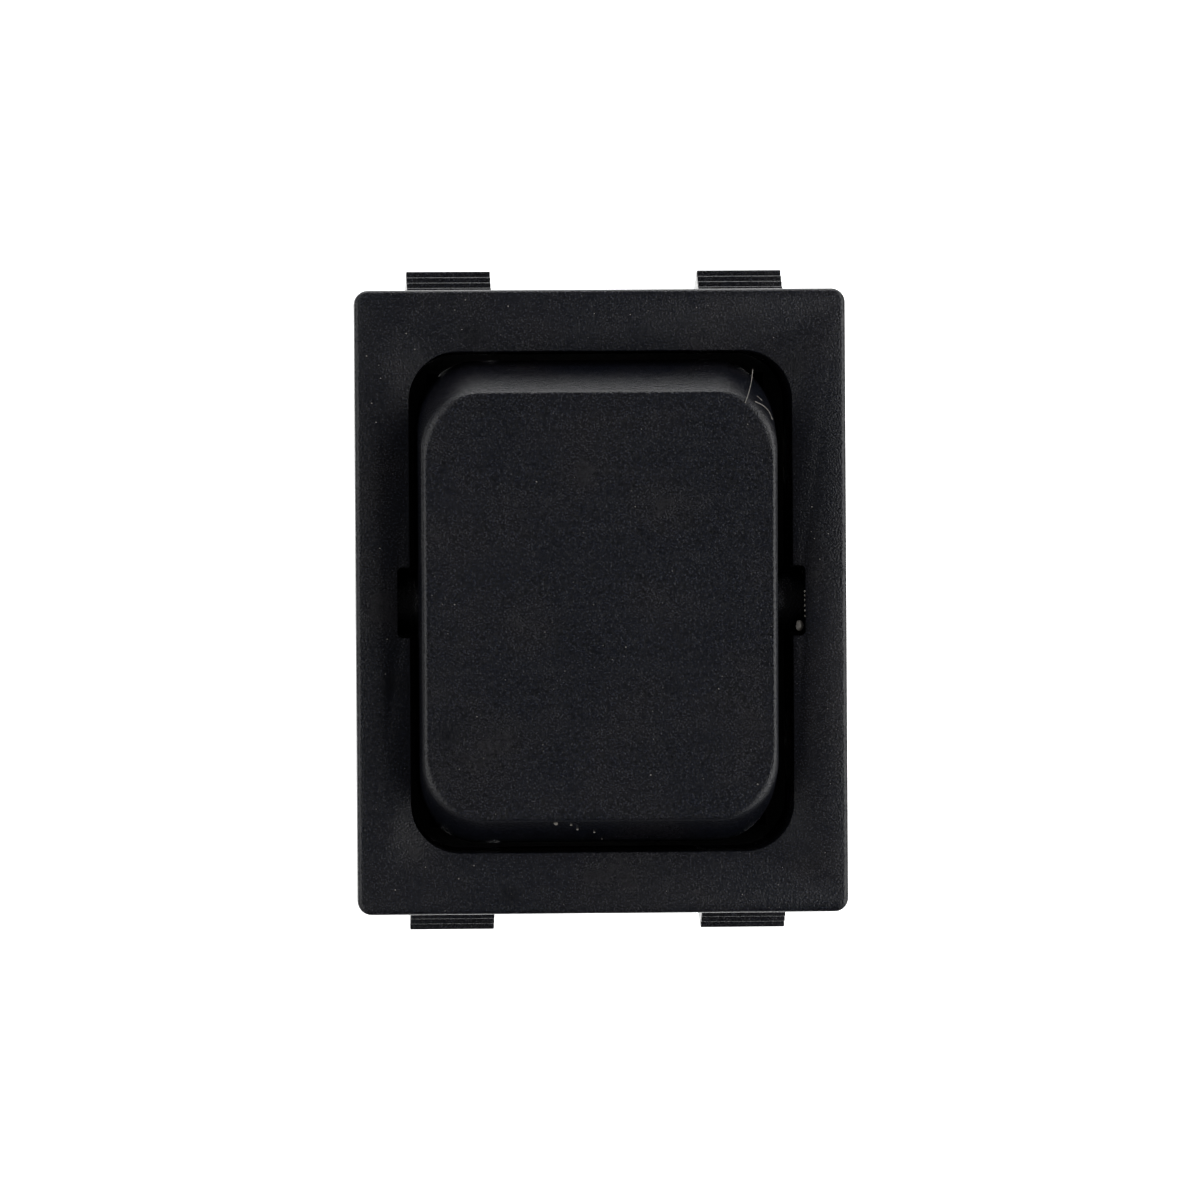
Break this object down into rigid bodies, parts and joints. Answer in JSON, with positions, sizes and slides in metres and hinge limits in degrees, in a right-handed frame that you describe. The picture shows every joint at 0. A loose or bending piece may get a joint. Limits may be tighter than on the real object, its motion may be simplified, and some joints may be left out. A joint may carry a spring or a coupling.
{
  "type": "panel rocker switch",
  "caption": "Black snap-in panel rocker switch: a wide plain momentary paddle in a rectangular bezel, stepped spring legs, two poles, centre off, blade terminals underneath.",
  "frame": {"origin": "centre of the panel cut-out, on the rear face of the bezel flange, where the panel's front lies", "axes": "+Z out of the panel towards the user, +Y along the paddle to its upper end, +X across the paddle to the right"},
  "size_m": [0.03, 0.0406, 0.0329],
  "materials": {
    "bezel_plastic": "spark-eroded matte nylon",
    "paddle_plastic": "spark-eroded matte nylon",
    "base_plastic": "matte glass-filled polyester",
    "tinned_brass": "dull tin plate",
    "silver_contact": "satin silver",
    "copper": "rolled copper",
    "plunger_brass": "turned brass",
    "spring_steel": "drawn wire"
  },
  "bodies": {
    "housing": {"frame": "bezel_plastic", "base": "base_plastic", "common_terminal_left": "tinned_brass", "common_terminal_right": "tinned_brass", "upper_terminal_left": "tinned_brass", "upper_terminal_right": "tinned_brass", "lower_terminal_left": "tinned_brass", "lower_terminal_right": "tinned_brass", "upper_fixed_contact_left": "silver_contact", "upper_fixed_contact_right": "silver_contact", "lower_fixed_contact_left": "silver_contact", "lower_fixed_contact_right": "silver_contact"},
    "paddle": {"paddle": "paddle_plastic", "plunger_spring_left": "spring_steel", "plunger_spring_right": "spring_steel"},
    "seesaw_left": {"seesaw_left": "copper", "upper_moving_contact_left": "silver_contact", "lower_moving_contact_left": "silver_contact"},
    "plunger_left": {"plunger_left": "plunger_brass"},
    "seesaw_right": {"seesaw_right": "copper", "upper_moving_contact_right": "silver_contact", "lower_moving_contact_right": "silver_contact"},
    "plunger_right": {"plunger_right": "plunger_brass"}
  },
  "joints": [
    {"name": "paddle_tilt", "type": "hinge", "parent": "housing", "child": "paddle", "pos_m": [0, 0, -0.0005], "axis": [1, 0, 0], "range_deg": [-10, 6], "stiffness_Nm_per_rad": 0.6},
    {"name": "plunger_slide_left", "type": "slide", "parent": "paddle", "child": "plunger_left", "axis": [0, -0.0349, 0.9994], "range_m": [0, 0.0015], "stiffness_N_per_m": 500, "springref_m": -0.003, "deforming": ["plunger_spring_left"]},
    {"name": "plunger_slide_right", "type": "slide", "parent": "paddle", "child": "plunger_right", "axis": [0, -0.0349, 0.9994], "range_m": [0, 0.0015], "stiffness_N_per_m": 500, "springref_m": -0.003, "deforming": ["plunger_spring_right"]},
    {"name": "seesaw_tilt_left", "type": "hinge", "parent": "housing", "child": "seesaw_left", "pos_m": [-0.0065, 0, -0.011], "axis": [1, 0, 0], "range_deg": [-6, 10]},
    {"name": "seesaw_tilt_right", "type": "hinge", "parent": "housing", "child": "seesaw_right", "pos_m": [0.0065, 0, -0.011], "axis": [1, 0, 0], "range_deg": [-6, 10]}
  ],
  "couplings": [
    {"joint": "seesaw_tilt_left", "follows": "paddle_tilt", "ratio": -1},
    {"joint": "seesaw_tilt_right", "follows": "paddle_tilt", "ratio": -1}
  ]
}
